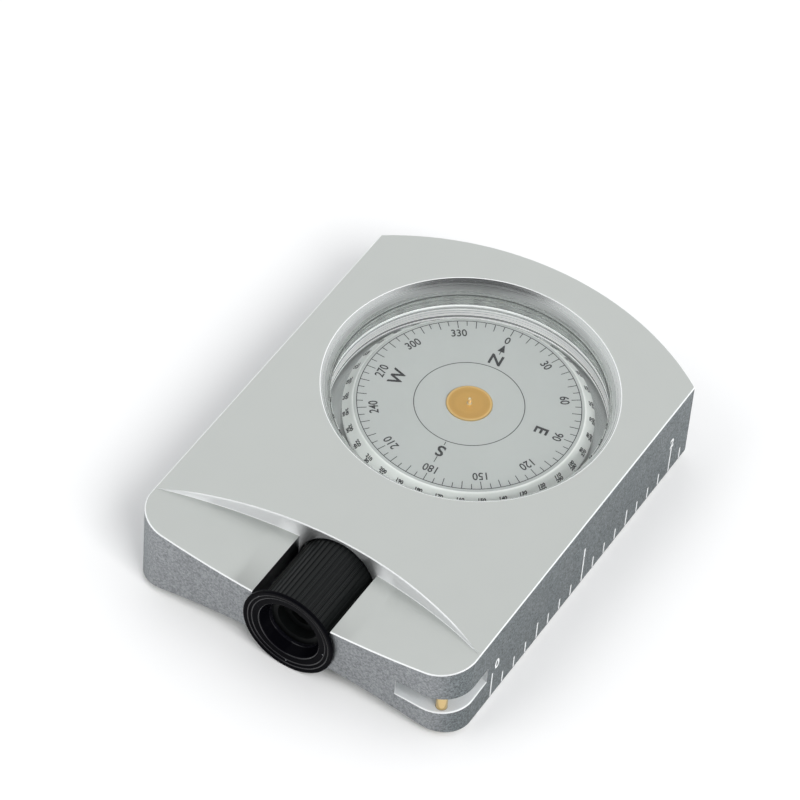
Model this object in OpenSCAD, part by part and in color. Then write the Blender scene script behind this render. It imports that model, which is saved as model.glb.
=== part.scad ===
// Pocket sighting compass: a flat machined body with a liquid capsule and a focusing eyepiece.
// Origin: on the dial axis, in the plane of the underside. +Y is the sighting direction, +Z is up.

/* [Body] */
// Width of the body, side to side
body_w = 53.8; // [52:0.1:58]
// Thickness of the body
body_t = 13.7; // [13.2:0.1:15]
// From the dial axis forward to the flat front face
front_reach = 48.1; // [47:0.1:51]
// From the dial axis back to the crown of the curved rear face
back_reach = 27.5; // [27:0.1:30]
// Radius of the curved rear face
back_r = 45.1; // [42:0.1:60]
// Radius of the two front corners
corner_r = 5.2; // [4.8:0.1:5.6]

/* [Finger scoops] */
// From the dial axis forward to the middle of the scoop's step
scoop_reach = 35.4; // [34:0.1:37]
// Radius of the step, seen from above
scoop_wall_r = 58; // [50:0.5:80]
// Depth of the scoop on the middle line
scoop_depth = 3; // [2:0.1:3.4]

/* [Dial well] */
// Depth of the window below the top face
well_depth = 2.2; // [1.8:0.1:2.6]
// Width of the bevel round the well
rim_bevel = 1.0; // [0.6:0.1:1.4]
// How far the well's wall leans out over its height
well_flare = 0.4; // [0.2:0.1:0.6]
// Width of the ledge that holds the capsule down
ledge_w = 0.5; // [0.4:0.1:0.8]
// Thickness of that ledge
ledge_t = 0.6; // [0.4:0.1:0.8]

/* [Capsule] */
// Outer radius of the capsule
capsule_r = 20.7; // [20:0.1:21]
// Wall of the capsule's sides
capsule_wall = 1.4; // [1.2:0.1:1.6]
// Gap between the capsule and its chamber
capsule_gap = 0.25; // [0.2:0.05:0.3]
// Thickness of the lid over the dial
lid_t = 1.3; // [1.1:0.1:1.4]
// Gap between the lid's raised face and the ledge
lid_gap = 0.15; // [0.1:0.05:0.25]
// Thickness of the cup's floor
cup_floor_t = 1.2; // [1:0.1:1.4]
// Height of the joint between lid and cup, above the optical axis
seam_above_axis = 1.1; // [0.9:0.1:1.4]
// Height of the locating lip at that joint
seam_lip_h = 0.6; // [0.4:0.1:0.8]
// Clearance round the locating lip
seam_gap = 0.05; // [0.03:0.01:0.08]
// Radius of the filling plug
plug_r = 1.0; // [0.8:0.1:1.2]
// Distance of the filling plug from the dial axis
plug_reach = 9.5; // [8:0.5:11]

/* [Back cover] */
// Thickness of the cover under the capsule
cover_t = 1.2; // [1:0.1:1.4]
// Width of the cover's seat round the chamber
cover_seat_w = 2.6; // [2.5:0.1:2.8]
// Gap round the cover
cover_gap = 0.1; // [0.05:0.05:0.15]
// Number of cover screws
screw_n = 3; // [3:2:5]
// Direction of the first cover screw from the dial axis
screw_turn = 90; // [80:1:100]
// Radius of a cover screw's thread
screw_r = 0.6; // [0.5:0.05:0.7]
// Radius of a cover screw's head
screw_head_r = 1.05; // [1:0.05:1.1]
// Height of a cover screw's conical head
screw_head_h = 0.55; // [0.5:0.05:0.6]
// Length of a cover screw below its head
screw_len = 3.4; // [3:0.1:4]
// Width of a cover screw's slot
screw_slot_w = 0.28; // [0.25:0.01:0.35]
// Depth of a cover screw's slot
screw_slot_d = 0.25; // [0.2:0.01:0.3]
// Thickness of the pad between cover and capsule
pad_t = 0.7; // [0.5:0.1:0.8]
// From the capsule's side in to the pad's outer edge
pad_inset = 2.8; // [2:0.2:3.6]
// Width of the pad's ring
pad_w = 4.5; // [3:0.5:5]

/* [Card] */
// Gap between the card's rim and the capsule's side
card_gap = 0.85; // [0.7:0.05:1.2]
// Gap between the card's top and the lid
card_top_gap = 1.2; // [1:0.1:1.4]
// Thickness of the card's sheet
card_t = 0.5; // [0.4:0.05:0.6]
// Height of the card, from its face to the foot of its side scale
card_h = 4.4; // [4:0.1:4.8]
// Height of the leaning part of the side scale, from the card's face
card_slope_h = 2.75; // [2.4:0.05:3]
// Angle by which that part leans outward
card_lean = 28; // [20:1:32]
// Radius of the rounded shoulder between face and side scale
card_shoulder_r = 0.7; // [0.6:0.05:0.9]
// Angle by which the card's north stands left of the sighting line
card_turn = 7.3; // [0:0.1:20]
// Length of a bar magnet
magnet_l = 18; // [14:1:20]
// Side of a bar magnet's square section
magnet_w = 1.6; // [1.2:0.1:2]
// Distance of each magnet from the dial axis
magnet_reach = 4.6; // [4:0.1:6]
// Radius of the hub's brass disc
hub_r = 3.42; // [3:0.1:4]
// Height of the hub's disc above the card
hub_t = 0.27; // [0.2:0.01:0.4]
// Chamfer round the hub's disc
hub_chamfer = 0.08; // [0.05:0.01:0.1]
// Radius of the hub's neck through the card
hub_neck_r = 1.6; // [1.4:0.1:1.8]
// Length of the hub's neck below the card's face
hub_neck_l = 1.6; // [1.4:0.1:1.8]
// Clearance of the neck in the card
hub_fit = 0.03; // [0.02:0.01:0.05]
// Radius of the bearing jewel
jewel_r = 0.9; // [0.8:0.05:1]
// Thickness of the bearing jewel
jewel_t = 0.7; // [0.6:0.05:0.8]
// Depth of the hollow under the jewel
jewel_cup_d = 0.4; // [0.35:0.05:0.45]
// Radius of the hollow under the jewel
jewel_cup_r = 0.5; // [0.45:0.05:0.6]
// Metal left over the jewel
jewel_cover_t = 0.5; // [0.4:0.05:0.6]
// Radius of the guard pin on top of the hub
guard_r = 0.27; // [0.2:0.01:0.35]
// Height of the guard pin above the hub
guard_h = 1.9; // [1.6:0.1:1.9]
// Depth of the guard pin's hole in the hub
guard_seat = 0.3; // [0.2:0.05:0.35]
// Gap between the guard pin and its pocket in the lid
guard_gap = 0.15; // [0.1:0.05:0.2]

/* [Pivot post] */
// Radius of the post's foot
post_foot_r = 1.5; // [1.2:0.1:2]
// Height of the post's foot
post_foot_h = 1.2; // [1:0.1:1.6]
// Radius of the post's spigot in the floor
post_spigot_r = 0.8; // [0.6:0.1:1]
// Length of that spigot
post_spigot_l = 0.8; // [0.6:0.1:0.9]
// Radius of the post's shaft
post_r = 0.45; // [0.4:0.05:0.5]
// Length of the ground point
post_point_l = 1; // [0.8:0.1:1.2]
// Radius at the tip of the point
post_tip_r = 0.06; // [0.04:0.01:0.08]
// Running gap between the point and the jewel
pivot_gap = 0.1; // [0.08:0.01:0.12]

/* [Eyepiece] */
// Width of the body's cut for the focusing ring
slot_w = 12.9; // [12.7:0.1:13.2]
// Gap between the focusing ring and each side of the cut
ring_side_gap = 0.4; // [0.35:0.05:0.45]
// Depth of the round recess in the step for the ring's end, on the middle line
recess_d = 0.9; // [0.8:0.05:1.1]
// Gap between the ring and that recess, all round
recess_gap = 0.25; // [0.2:0.05:0.3]
// Gap between the ring's end and the recess's floor
ring_back_gap = 0.5; // [0.4:0.05:0.6]
// Number of ribs round the ring
rib_n = 46; // [30:1:48]
// Height of a rib
rib_h = 0.17; // [0.15:0.01:0.3]
// Share of the rib pitch that is rib
rib_share = 0.6; // [0.5:0.05:0.7]
// Share of the rib pitch that each flank of a rib takes
rib_flank = 0.1; // [0.05:0.05:0.15]
// Bevel at both ends of the ring
ring_bevel = 0.35; // [0.2:0.05:0.4]
// Gap between the flange's back and the front face
flange_gap = 0.15; // [0.1:0.05:0.3]
// Radius of the eyecup's flange
flange_r = 7.4; // [7.2:0.1:8]
// Thickness of the eyecup's flange
flange_t = 0.5; // [0.5:0.05:0.8]
// Bevel on the flange's edges
flange_bevel = 0.15; // [0.1:0.05:0.2]
// Number of steps in the eyecup
cup_step_n = 2; // [1:1:2]
// Depth of each step in the eyecup
cup_step = 0.12; // [0.1:0.01:0.14]
// Width of each step in the eyecup
cup_step_w = 0.5; // [0.4:0.05:0.6]
// Radius of the eyecup's cone at its mouth
cone_mouth_r = 4.9; // [4.6:0.1:5]
// Radius of the eye hole
eye_hole_r = 4.1; // [3.8:0.1:4.3]
// Length of the eyecup's spigot inside the ring
cup_spigot_l = 1.9; // [1.6:0.1:2]

/* [Guide tube and lens] */
// Radius of the guide tube where the ring runs
tube_r = 4.65; // [4.55:0.05:4.7]
// Radius of the tube's bore for the lens cell
tube_bore_r = 3.3; // [3.2:0.05:3.4]
// Radius of the tube's threaded tail in the body
tail_r = 4; // [3.9:0.05:4.1]
// Length of the tail in the body
tail_l = 11.4; // [10:0.1:12]
// Clearance of the tail in the body
tail_fit = 0.03; // [0.02:0.01:0.05]
// Radius of the sight hole through the tail
sight_r = 2.4; // [2.2:0.1:2.6]
// Gap between the tube's shoulder and the recess's floor
tube_shoulder_gap = 0.3; // [0.25:0.05:0.4]
// Distance from the tube's mouth to the ring's front end
tube_set_back = 2.2; // [2.1:0.1:2.4]
// Running gap of the ring on the tube
ring_run_gap = 0.05; // [0.03:0.01:0.08]
// Width of the retaining clip's metal, seen from the front
clip_w = 0.9; // [0.8:0.05:1]
// Thickness of the retaining clip
clip_t = 0.5; // [0.4:0.05:0.6]
// How deep the clip sits in the tube
clip_seat = 0.45; // [0.4:0.05:0.5]
// Distance from the tube's mouth to the clip
clip_set_back = 0.5; // [0.4:0.05:0.6]
// Axial and radial play round the clip
clip_play = 0.12; // [0.1:0.01:0.2]
// Mouth of the clip
clip_mouth = 3; // [2:0.5:4]
// Radius of the friction ring's round section
o_ring_r = 0.42; // [0.4:0.01:0.45]
// Distance of the friction ring from the tube's shoulder
o_ring_reach = 1.7; // [1.4:0.1:2]
// Play round the friction ring in its groove
o_ring_play = 0.03; // [0.02:0.01:0.05]
// Travel of the lens cell each way from rest
focus_travel = 1; // [0.8:0.1:1.2]
// Running gap of the lens cell in the tube
cell_run_gap = 0.05; // [0.03:0.01:0.08]
// Length of the lens cell
cell_l = 5; // [4.5:0.1:5.4]
// Distance from the tube's mouth to the lens cell at rest
cell_set_back = 1.6; // [1.5:0.1:2]
// Wall of the lens cell round the lens
cell_wall = 0.5; // [0.45:0.05:0.6]
// Radius of the sight hole through the lens cell
cell_hole_r = 2.2; // [2:0.1:2.3]
// Thickness of the lens on its axis
lens_t = 1.8; // [1.6:0.1:2]
// Thickness of the lens at its edge
lens_edge_t = 0.8; // [0.7:0.1:1]
// Clearance of the lens in its cell
lens_fit = 0.03; // [0.02:0.01:0.05]
// Thickness of the ring that holds the lens
retainer_t = 0.6; // [0.5:0.1:0.7]
// Radius of the drive pin
drive_r = 0.5; // [0.4:0.05:0.55]
// Gap between the drive pin and the sides of its groove
drive_gap = 0.06; // [0.04:0.01:0.08]
// How far the drive pin reaches into the ring's groove
drive_reach = 0.4; // [0.3:0.05:0.45]
// Gap between the drive pin's end and the groove's floor
drive_end_gap = 0.15; // [0.1:0.05:0.2]
// Distance of the drive pin from the lens cell's front end
drive_set_back = 2.5; // [2.2:0.1:2.8]
// Width of the sighting hairline
hairline_w = 0.12; // [0.1:0.01:0.15]
// Depth of the hairline
hairline_d = 0.14; // [0.1:0.01:0.16]

/* [Lanyard slot] */
// Height of the slot
lanyard_h = 3; // [2.5:0.1:3.5]
// How far the middle of the slot lies below the optical axis
lanyard_drop = 0.45; // [0.2:0.05:0.6]
// Radius of the round cut that makes the slot
lanyard_cut_r = 6.9; // [6.5:0.1:7.2]
// Distance of that cut's centre from the side face
lanyard_cut_x = 3.4; // [3.2:0.1:3.8]
// Distance of that cut's centre from the front face
lanyard_cut_y = 3.0; // [2.8:0.1:3.4]
// Radius of the brass pin across the slot
pin_r = 0.85; // [0.7:0.05:0.9]
// Metal left between the pin's hole and the corner's outside
pin_wall = 0.45; // [0.35:0.05:0.7]
// Direction of the pin from the corner's centre of curvature, turned forward from the side
pin_angle = 57; // [50:1:62]
// Length of the pin that is held above the slot
pin_grip = 2.6; // [2:0.1:3]
// Depth of the pin's foot below the underside's skin
pin_sink = 0.2; // [0.1:0.05:0.4]
// Clearance of the pin in its hole
pin_fit = 0.02; // [0.01:0.01:0.03]

/* [Ruler] */
// Ruler division, an eighth of an inch
tick_pitch = 3.175; // [3.1:0.005:3.25]
// Number of divisions in an inch
inch_n = 8; // [4:4:16]
// Number of divisions on the ruler
tick_n = 17; // [12:1:17]
// From the dial axis forward to the ruler's zero
ruler_reach = 37.6; // [37:0.1:38]
// Height of a whole-inch mark
tick_long = 5.2; // [4.5:0.1:6]
// Height of a half-inch mark
tick_mid = 3.6; // [3:0.1:4]
// Height of an eighth-inch mark
tick_short = 2.4; // [2:0.1:2.8]
// Height of the marks' lower ends
tick_foot = 0.4; // [0.3:0.05:0.6]
// Width of a mark
tick_w = 0.22; // [0.14:0.01:0.25]
// Depth of a mark's groove
tick_d = 0.12; // [0.1:0.01:0.2]
// Depth of the paint's face below the side face
paint_sink = 0.02; // [0.01:0.005:0.03]

/* [Hidden] */

// Smoothness of round shapes
$fn = 96;
// Overrun of a cut past the face that it opens, and overlap of joined shapes
cut = 1;
// Segments in a small rounded profile
round_steps = 6;
full_turn = 360;

half_w = body_w / 2;
axis_z = body_t / 2;
front_y = -front_reach;
wall_y = -scoop_reach;

scoop_floor_r = (half_w * half_w + scoop_depth * scoop_depth) / (2 * scoop_depth);

chamber_r = capsule_r + capsule_gap;
window_r = chamber_r - ledge_w;
well_wall_r = window_r + well_flare;
rim_r = well_wall_r + rim_bevel;
lid_top_z = body_t - well_depth;
ledge_z = lid_top_z - ledge_t;
lid_under_z = lid_top_z - lid_t;
lid_face_r = window_r - lid_gap;
capsule_bore_r = capsule_r - capsule_wall;
seam_z = axis_z + seam_above_axis;
seam_mid_r = (capsule_r + capsule_bore_r) / 2;
lip_z = seam_z + seam_lip_h;
lip_room_z = lip_z + seam_gap;
cup_foot_z = cover_t + pad_t;
cup_floor_z = cup_foot_z + cup_floor_t;

cover_seat_r = chamber_r + cover_seat_w;
cover_r = cover_seat_r - cover_gap;
screw_ring_r = chamber_r + cover_seat_w / 2;
pad_r = capsule_r - pad_inset;

card_r = capsule_bore_r - card_gap;
card_z = lid_under_z - card_top_gap;
card_foot_z = card_z - card_h;
card_slope_z = card_z - card_slope_h;
card_face_r = card_r - (card_shoulder_r + (card_slope_h - card_shoulder_r) * sin(card_lean)) / cos(card_lean);
hub_top_z = card_z + hub_t;
hub_foot_z = card_z - hub_neck_l;
jewel_top_z = hub_top_z - jewel_cover_t;
jewel_foot_z = jewel_top_z - jewel_t;
post_tip_z = jewel_foot_z + jewel_cup_d - pivot_gap;
guard_room_z = hub_top_z + guard_h + guard_gap;

ring_r = slot_w / 2 - ring_side_gap;
ring_root_r = ring_r - rib_h;
recess_r = ring_r + recess_gap;
recess_y = wall_y + recess_d;
ring_back_y = recess_y - ring_back_gap;
ring_front_y = front_y - flange_gap;
ring_bore_r = tube_r + ring_run_gap;
flange_front_y = ring_front_y - flange_t;

tube_mouth_y = ring_front_y + tube_set_back;
tube_shoulder_y = recess_y - tube_shoulder_gap;
tube_tail_y = wall_y + tail_l;
cell_front_y = tube_mouth_y + cell_set_back;
cell_back_y = cell_front_y + cell_l;
cell_r = tube_bore_r - cell_run_gap;
clip_front_y = tube_mouth_y + clip_set_back;
clip_back_y = clip_front_y + clip_t;
clip_in_r = tube_r - clip_seat;
clip_out_r = clip_in_r + clip_w;
ring_mouth_r = clip_out_r + clip_play;
drive_y = cell_front_y + drive_set_back;
drive_slot_l = focus_travel + drive_r + drive_gap;
drive_top_r = ring_bore_r + drive_reach;
drive_floor_r = drive_top_r + drive_end_gap;
o_ring_room = o_ring_r + o_ring_play;
o_ring_mid_r = ring_bore_r - o_ring_room;
o_ring_y = tube_shoulder_y - o_ring_reach;
lens_r = cell_r - cell_wall;
lens_seat_y = cell_front_y + retainer_t + lens_edge_t;
lens_bulge = (lens_t - lens_edge_t) / 2;
lens_clear_r = cell_hole_r - lens_fit;
cell_bore_back_y = cell_back_y + focus_travel + drive_gap;

corner_x = half_w - corner_r;
corner_y = front_y + corner_r;
lanyard_x = half_w - lanyard_cut_x;
lanyard_y = front_y + lanyard_cut_y;
lanyard_z = axis_z - lanyard_drop;
pin_reach = corner_r - pin_wall - pin_fit - pin_r;
pin_x = corner_x + pin_reach * cos(pin_angle);
pin_y = corner_y - pin_reach * sin(pin_angle);
pin_skin_z = scoop_depth - scoop_floor_r + sqrt(scoop_floor_r * scoop_floor_r - pin_x * pin_x);
pin_foot_z = pin_skin_z + pin_sink;
pin_top_z = lanyard_z + lanyard_h / 2 + pin_grip;

// Points of an arc in a profile, from angle a to angle b round [x, y]
function arc(x, y, r, a, b, n) = [
    for (i = [0 : n]) let (t = a + (b - a) * i / n) [x + r * cos(t), y + r * sin(t)]
];

// Height of ruler mark k
function tick_h(k) = k % inch_n == 0 ? tick_long : k % (inch_n / 2) == 0 ? tick_mid : tick_short;

// Outer radius of eyecup step i, counted inward from the flange's rim
function step_r(i) = flange_r - flange_bevel - i * (cup_step_w + cup_step);

// Position along the optical axis of eyecup step i
function step_y(i) = flange_front_y + i * cup_step;

// One face of the lens, bulging by b from the plane y, from its middle to its rim
function lens_face(y, b) = [
    for (i = [0 : round_steps]) let (t = i / round_steps) [lens_clear_r * t, y + b * (1 - t * t)]
];

// Lays a profile that is drawn about Z on the optical axis, its height along +Y
module on_optical_axis() {
    translate([0, 0, axis_z]) rotate([-90, 0, 0]) children();
}

// A round bar on the optical axis, from y0 to y1
module axis_bar(r, y0, y1) {
    on_optical_axis() translate([0, 0, y0]) cylinder(r = r, h = y1 - y0);
}

// Copies its children round the dial axis at the cover screws
module at_screws() {
    for (i = [0 : screw_n - 1])
        rotate([0, 0, screw_turn + full_turn * i / screw_n]) translate([screw_ring_r, 0, 0]) children();
}

// The body's outline from above
module outline() {
    intersection() {
        union() {
            translate([-half_w, corner_y]) square([body_w, back_reach - corner_y]);
            translate([-corner_x, front_y]) square([2 * corner_x, back_reach - front_y]);
            for (s = [-1, 1]) translate([s * corner_x, corner_y]) circle(r = corner_r);
        }
        union() {
            translate([0, back_reach - back_r]) circle(r = back_r, $fn = 180);
            translate([-body_w, -2 * front_reach]) square([2 * body_w, 2 * front_reach]);
        }
    }
}

// The scoop above the body's upper face
module scoop() {
    intersection() {
        translate([0, wall_y - scoop_wall_r, 0])
            cylinder(r = scoop_wall_r, h = body_t + scoop_depth, $fn = 240);
        translate([0, 0, body_t - scoop_depth + scoop_floor_r]) rotate([90, 0, 0])
            cylinder(r = scoop_floor_r, h = front_reach + cut, $fn = 360);
    }
}

// The stepped well and chamber round the dial axis
module dial_bore() {
    rotate_extrude($fn = 180) polygon([
        [0, -cut], [cover_seat_r, -cut], [cover_seat_r, cover_t], [chamber_r, cover_t], [chamber_r, ledge_z],
        [window_r, ledge_z], [window_r, lid_top_z], [well_wall_r, body_t - rim_bevel], [rim_r, body_t],
        [rim_r + cut, body_t + cut], [0, body_t + cut]
    ]);
}

// The groove, or the paint in it, for ruler mark k
module ruler_mark(k, sink, depth) {
    translate([half_w - tick_d, -ruler_reach + k * tick_pitch - tick_w / 2, tick_foot])
        cube([depth - sink, tick_w, tick_h(k) - tick_foot]);
}

module body() {
    color([0.77, 0.78, 0.77]) difference() {
        linear_extrude(height = body_t) outline();
        scoop();
        translate([0, 0, body_t]) mirror([0, 0, 1]) scoop();
        dial_bore();
        intersection() {
            translate([-slot_w / 2, front_y - cut, -cut]) cube([slot_w, front_reach, body_t + 2 * cut]);
            translate([0, wall_y - scoop_wall_r, -cut])
                cylinder(r = scoop_wall_r, h = body_t + 2 * cut, $fn = 240);
        }
        axis_bar(recess_r, wall_y - cut, recess_y);
        axis_bar(tail_r + tail_fit, wall_y, -capsule_r);
        at_screws() cylinder(r = screw_r, h = screw_head_h + screw_len);
        translate([lanyard_x, lanyard_y, lanyard_z - lanyard_h / 2])
            cylinder(r = lanyard_cut_r, h = lanyard_h);
        translate([pin_x, pin_y, -cut]) cylinder(r = pin_r + pin_fit, h = pin_top_z + cut);
        for (k = [0 : tick_n]) ruler_mark(k, 0, tick_d + cut);
    }
}

module back_cover() {
    color([0.72, 0.73, 0.73]) difference() {
        cylinder(r = cover_r, h = cover_t, $fn = 180);
        at_screws() {
            translate([0, 0, -cut]) cylinder(r = screw_r, h = cover_t + 2 * cut);
            cylinder(r1 = screw_head_r, r2 = screw_r, h = screw_head_h);
        }
    }
}

module cover_screws() {
    color([0.55, 0.56, 0.58]) at_screws() difference() {
        union() {
            cylinder(r1 = screw_head_r, r2 = screw_r, h = screw_head_h);
            cylinder(r = screw_r, h = screw_head_h + screw_len);
        }
        translate([-screw_head_r, -screw_slot_w / 2, -cut])
            cube([2 * screw_head_r, screw_slot_w, cut + screw_slot_d]);
    }
}

module capsule_pad() {
    color([0.12, 0.12, 0.12]) translate([0, 0, cover_t]) difference() {
        cylinder(r = pad_r, h = pad_t, $fn = 120);
        translate([0, 0, -cut]) cylinder(r = pad_r - pad_w, h = pad_t + 2 * cut, $fn = 120);
    }
}

module capsule_cup() {
    color([0.82, 0.86, 0.86, 0.5]) difference() {
        rotate_extrude($fn = 180) polygon([
            [0, cup_foot_z], [capsule_r, cup_foot_z], [capsule_r, seam_z], [seam_mid_r, seam_z],
            [seam_mid_r, lip_z], [capsule_bore_r, lip_z],
            [capsule_bore_r, cup_floor_z], [0, cup_floor_z]
        ]);
        translate([0, 0, cup_floor_z - post_spigot_l]) cylinder(r = post_spigot_r, h = post_spigot_l + cut);
        translate([0, plug_reach, cup_foot_z - cut]) cylinder(r = plug_r, h = cup_floor_t + 2 * cut);
    }
}

module capsule_lid() {
    color([0.85, 0.89, 0.89, 0.4]) rotate_extrude($fn = 180) polygon([
        [0, guard_room_z], [guard_r + guard_gap, guard_room_z],
        [guard_r + guard_gap, lid_under_z], [capsule_bore_r, lid_under_z],
        [capsule_bore_r, lip_room_z], [seam_mid_r + seam_gap, lip_room_z],
        [seam_mid_r + seam_gap, seam_z], [capsule_r, seam_z], [capsule_r, ledge_z],
        [lid_face_r, ledge_z], [lid_face_r, lid_top_z], [0, lid_top_z]
    ]);
}

module fill_plug() {
    color([0.9, 0.9, 0.88]) translate([0, plug_reach, cup_foot_z]) cylinder(r = plug_r, h = cup_floor_t);
}

module pivot_post() {
    color([0.62, 0.64, 0.66]) rotate_extrude() polygon([
        [0, cup_floor_z - post_spigot_l], [post_spigot_r, cup_floor_z - post_spigot_l],
        [post_spigot_r, cup_floor_z], [post_foot_r, cup_floor_z],
        [post_foot_r, cup_floor_z + post_foot_h], [post_r, cup_floor_z + post_foot_h],
        [post_r, post_tip_z - post_point_l], [post_tip_r, post_tip_z], [0, post_tip_z]
    ]);
}

module sight_hairline() {
    color([0.05, 0.05, 0.05]) translate([-hairline_w / 2, -capsule_r - hairline_d, axis_z - sight_r])
        cube([hairline_w, hairline_d, 2 * sight_r]);
}

module lanyard_pin() {
    color([0.78, 0.65, 0.38]) translate([pin_x, pin_y, pin_foot_z])
        cylinder(r = pin_r, h = pin_top_z - pin_foot_z);
}

module ruler_paint() {
    color([0.93, 0.93, 0.92]) for (k = [0 : tick_n]) ruler_mark(k, paint_sink, tick_d);
}

module guide_tube() {
    color([0.1, 0.1, 0.11]) difference() {
        union() {
            axis_bar(tube_r, tube_mouth_y, tube_shoulder_y);
            axis_bar(tail_r, tube_shoulder_y - cut, tube_tail_y);
        }
        axis_bar(tube_bore_r, tube_mouth_y - cut, cell_bore_back_y);
        axis_bar(sight_r, tube_mouth_y - cut, tube_tail_y + cut);
        on_optical_axis() rotate_extrude() translate([clip_in_r, clip_front_y]) square([clip_w, clip_t]);
        on_optical_axis() rotate_extrude()
            translate([o_ring_mid_r - o_ring_room, o_ring_y - o_ring_room])
                square([2 * o_ring_room + cut, 2 * o_ring_room]);
        translate([-drive_r - drive_gap, drive_y - drive_slot_l, axis_z])
            cube([2 * (drive_r + drive_gap), 2 * drive_slot_l, tube_r + cut]);
    }
}

module friction_ring() {
    color([0.06, 0.06, 0.06]) on_optical_axis() rotate_extrude()
        translate([o_ring_mid_r, o_ring_y]) circle(r = o_ring_r, $fn = 24);
}

module retaining_clip() {
    color([0.5, 0.5, 0.52]) on_optical_axis() translate([0, 0, clip_front_y]) difference() {
        cylinder(r = clip_out_r, h = clip_t);
        translate([0, 0, -cut]) cylinder(r = clip_in_r, h = clip_t + 2 * cut);
        translate([-clip_mouth / 2, 0, -cut]) cube([clip_mouth, clip_out_r + cut, clip_t + 2 * cut]);
    }
}

module card() {
    color([0.86, 0.88, 0.87]) rotate_extrude($fn = 180) polygon(concat(
        [[hub_neck_r + hub_fit, card_z]],
        arc(card_face_r, card_z - card_shoulder_r, card_shoulder_r, 90, card_lean, round_steps),
        [[card_r, card_slope_z], [card_r, card_foot_z], [card_r - card_t, card_foot_z]],
        [[card_r - card_t, card_slope_z - card_t * tan(card_lean / 2)]],
        arc(card_face_r, card_z - card_shoulder_r, card_shoulder_r - card_t, card_lean, 90, round_steps),
        [[hub_neck_r + hub_fit, card_z - card_t]]
    ));
}

module magnet_bars() {
    color([0.3, 0.3, 0.32]) rotate([0, 0, card_turn]) for (s = [-1, 1])
        translate([s * magnet_reach - magnet_w / 2, -magnet_l / 2, card_z - card_t - magnet_w])
            cube([magnet_w, magnet_l, magnet_w]);
}

module card_hub() {
    color([0.77, 0.61, 0.34]) rotate_extrude() polygon([
        [0, jewel_top_z], [jewel_r, jewel_top_z], [jewel_r, hub_foot_z], [hub_neck_r, hub_foot_z],
        [hub_neck_r, card_z], [hub_r, card_z],
        [hub_r, hub_top_z - hub_chamfer], [hub_r - hub_chamfer, hub_top_z],
        [guard_r, hub_top_z], [guard_r, hub_top_z - guard_seat], [0, hub_top_z - guard_seat]
    ]);
}

module hub_jewel() {
    color([0.7, 0.15, 0.25]) rotate_extrude() polygon([
        [0, jewel_top_z], [jewel_r, jewel_top_z], [jewel_r, jewel_foot_z],
        [jewel_cup_r, jewel_foot_z], [0, jewel_foot_z + jewel_cup_d]
    ]);
}

module guard_pin() {
    color([0.85, 0.72, 0.45]) translate([0, 0, hub_top_z - guard_seat])
        cylinder(r = guard_r, h = guard_seat + guard_h);
}

// The ring's outline across the optical axis, with its lengthwise ribs
module ribbed_outline() {
    corners = [
        [0, ring_root_r], [rib_flank, ring_r], [rib_share, ring_r], [rib_share + rib_flank, ring_root_r]
    ];
    polygon([
        for (i = [0 : rib_n - 1]) for (c = corners)
            let (a = full_turn * (i + c[0]) / rib_n) [c[1] * cos(a), c[1] * sin(a)]
    ]);
}

module focus_ring() {
    color([0.12, 0.125, 0.125]) difference() {
        intersection() {
            on_optical_axis() translate([0, 0, ring_front_y])
                linear_extrude(height = ring_back_y - ring_front_y) ribbed_outline();
            on_optical_axis() rotate_extrude() polygon([
                [0, ring_front_y], [ring_r - ring_bevel, ring_front_y],
                [ring_r + ring_bevel, ring_front_y + 2 * ring_bevel],
                [ring_r + ring_bevel, ring_back_y - 2 * ring_bevel],
                [ring_r - ring_bevel, ring_back_y], [0, ring_back_y]
            ]);
        }
        axis_bar(ring_bore_r, ring_front_y - cut, ring_back_y + cut);
        axis_bar(ring_mouth_r, ring_front_y - cut, clip_back_y + clip_play);
        axis_bar(drive_floor_r, drive_y - drive_slot_l, drive_y + drive_slot_l);
    }
}

module eyecup() {
    color([0.04, 0.04, 0.05]) on_optical_axis() rotate_extrude() polygon(concat(
        [
            [eye_hole_r, ring_front_y + cup_spigot_l], [ring_mouth_r, ring_front_y + cup_spigot_l],
            [ring_mouth_r, ring_front_y], [flange_r - flange_bevel, ring_front_y],
            [flange_r, ring_front_y - flange_bevel], [flange_r, flange_front_y + flange_bevel]
        ],
        [for (i = [0 : cup_step_n - 1]) each [[step_r(i), step_y(i)], [step_r(i) - cup_step_w, step_y(i)]]],
        [[step_r(cup_step_n), step_y(cup_step_n)], [cone_mouth_r, step_y(cup_step_n)]]
    ));
}

module lens_cell() {
    color([0.08, 0.08, 0.09]) difference() {
        axis_bar(cell_r, cell_front_y, cell_back_y);
        axis_bar(lens_r + lens_fit, cell_front_y - cut, lens_seat_y);
        axis_bar(cell_hole_r, cell_front_y - cut, cell_back_y + cut);
        translate([0, drive_y, axis_z]) cylinder(r = drive_r, h = cell_r + cut);
    }
}

module lens() {
    back = lens_face(lens_seat_y, lens_bulge);
    color([0.75, 0.85, 0.9, 0.4]) on_optical_axis() rotate_extrude() polygon(concat(
        lens_face(lens_seat_y - lens_edge_t, -lens_bulge),
        [[lens_r, lens_seat_y - lens_edge_t], [lens_r, lens_seat_y]],
        [for (i = [round_steps : -1 : 0]) back[i]]
    ));
}

module lens_retainer() {
    color([0.15, 0.15, 0.16]) difference() {
        axis_bar(lens_r, cell_front_y, cell_front_y + retainer_t);
        axis_bar(cell_hole_r, cell_front_y - cut, cell_front_y + retainer_t + cut);
    }
}

module drive_pin() {
    color([0.6, 0.6, 0.62]) translate([0, drive_y, axis_z + cell_hole_r + cell_run_gap])
        cylinder(r = drive_r, h = drive_top_r - cell_hole_r - cell_run_gap);
}

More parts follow.
